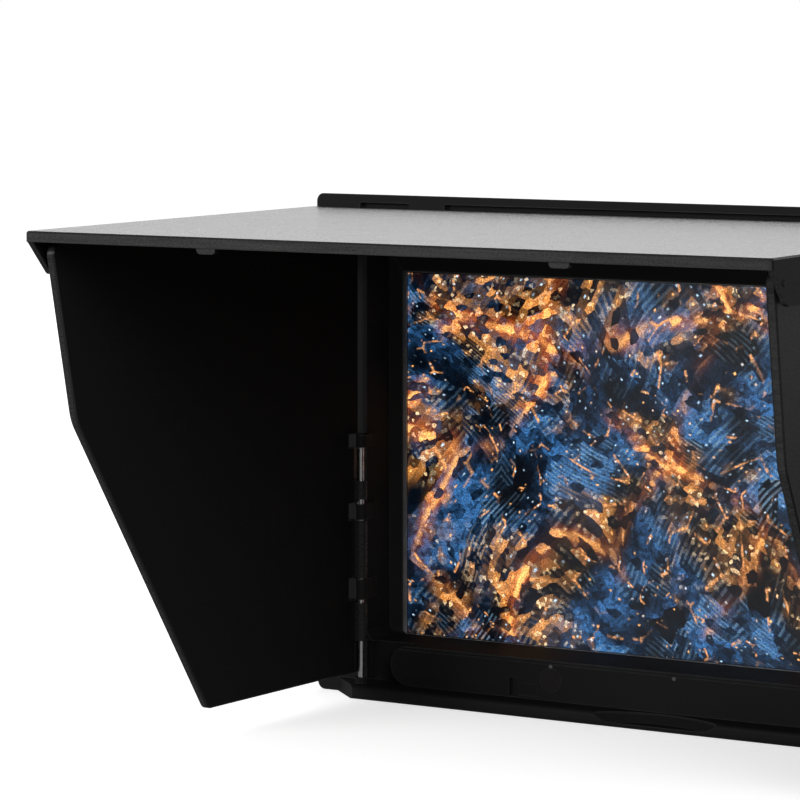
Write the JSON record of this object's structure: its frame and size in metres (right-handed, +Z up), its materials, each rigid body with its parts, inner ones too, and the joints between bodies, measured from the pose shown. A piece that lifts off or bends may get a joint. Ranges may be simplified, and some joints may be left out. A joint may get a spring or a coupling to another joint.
{
  "type": "video monitor with folding sun hood",
  "caption": "Flat field monitor in a slim case with a deep screen recess, shaded by a hinged top lid and tapering side wings on long steel hinge pins.",
  "frame": {"origin": "centre of the tripod thread's mouth in the flat bottom face of the case, on the middle of its width", "axes": "+Z up; -Y out of the screen towards the viewer, +Y out of the back; +X to the right as seen from the front"},
  "size_m": [0.187, 0.1747, 0.1291],
  "materials": {
    "housing_black": "fine satin grain",
    "hood_black": "fine satin grain",
    "window_clear": "clear polished",
    "screen_cell": "smooth",
    "light_guide_white": "smooth",
    "tray_steel": "rolled sheet",
    "gasket_black": "matt",
    "board_green": "lacquered",
    "can_tin": "tinned sheet",
    "speaker_black": "matt",
    "cell_sleeve": "shrink sleeve",
    "aerial_brass": "turned",
    "socket_black": "smooth",
    "switch_dark": "smooth",
    "key_black": "soft matt",
    "slider_grey": "satin",
    "screw_dark": "blackened",
    "insert_brass": "turned",
    "eye_dark": "smoked, polished",
    "lens_clear": "polished",
    "pin_steel": "drawn wire"
  },
  "bodies": {
    "housing": {"front_frame": "housing_black", "rear_shell": "housing_black", "battery_door": "housing_black", "display_window": "window_clear", "display_gasket": "gasket_black", "lcd_frame": "tray_steel", "lcd_panel": "screen_cell", "light_guide": "light_guide_white", "main_board": "board_green", "board_screws": "screw_dark", "receiver_left": "can_tin", "receiver_right": "can_tin", "speaker": "speaker_black", "battery_pack": "cell_sleeve", "aerial_jack_left": "aerial_brass", "aerial_jack_right": "aerial_brass", "aerial_nuts": "aerial_brass", "power_socket": "socket_black", "signal_socket": "socket_black", "key_board": "board_green", "switch_board": "board_green", "tact_switches": "switch_dark", "slide_switch": "switch_dark", "case_screws": "screw_dark", "tripod_insert": "insert_brass", "remote_eye": "eye_dark", "indicator_lenses": "lens_clear", "remote_receiver": "switch_dark", "lid_pins": "pin_steel", "wing_pin_left": "pin_steel", "wing_pin_right": "pin_steel"},
    "lid": {"lid": "hood_black"},
    "wing_left": {"wing_left": "hood_black"},
    "wing_right": {"wing_right": "hood_black"},
    "power_slider": {"power_slider": "slider_grey"},
    "key_1": {"key_1": "key_black"},
    "key_2": {"key_2": "key_black"},
    "key_3": {"key_3": "key_black"},
    "key_4": {"key_4": "key_black"}
  },
  "joints": [
    {"name": "lid_lift", "type": "hinge", "parent": "housing", "child": "lid", "pos_m": [0, -0.0226, 0.1209], "axis": [-1, 0, 0], "range_deg": [0, 10]},
    {"name": "wing_left_fold", "type": "hinge", "parent": "housing", "child": "wing_left", "pos_m": [-0.07745, -0.0205, 0.035], "axis": [0, 0, 1], "range_deg": [0, 94.5]},
    {"name": "wing_right_fold", "type": "hinge", "parent": "housing", "child": "wing_right", "pos_m": [0.07745, -0.0179, 0.035], "axis": [0, 0, -1], "range_deg": [0, 94.5]},
    {"name": "power_slide", "type": "slide", "parent": "housing", "child": "power_slider", "axis": [0, 0, 1], "range_m": [0, 0.003]},
    {"name": "key_1_press", "type": "slide", "parent": "housing", "child": "key_1", "axis": [-1, 0, 0], "range_m": [0, 0.0004], "stiffness_N_per_m": 3000, "springref_m": -0.0002},
    {"name": "key_2_press", "type": "slide", "parent": "housing", "child": "key_2", "axis": [-1, 0, 0], "range_m": [0, 0.0004], "stiffness_N_per_m": 3000, "springref_m": -0.0002},
    {"name": "key_3_press", "type": "slide", "parent": "housing", "child": "key_3", "axis": [-1, 0, 0], "range_m": [0, 0.0004], "stiffness_N_per_m": 3000, "springref_m": -0.0002},
    {"name": "key_4_press", "type": "slide", "parent": "housing", "child": "key_4", "axis": [-1, 0, 0], "range_m": [0, 0.0004], "stiffness_N_per_m": 3000, "springref_m": -0.0002}
  ]
}
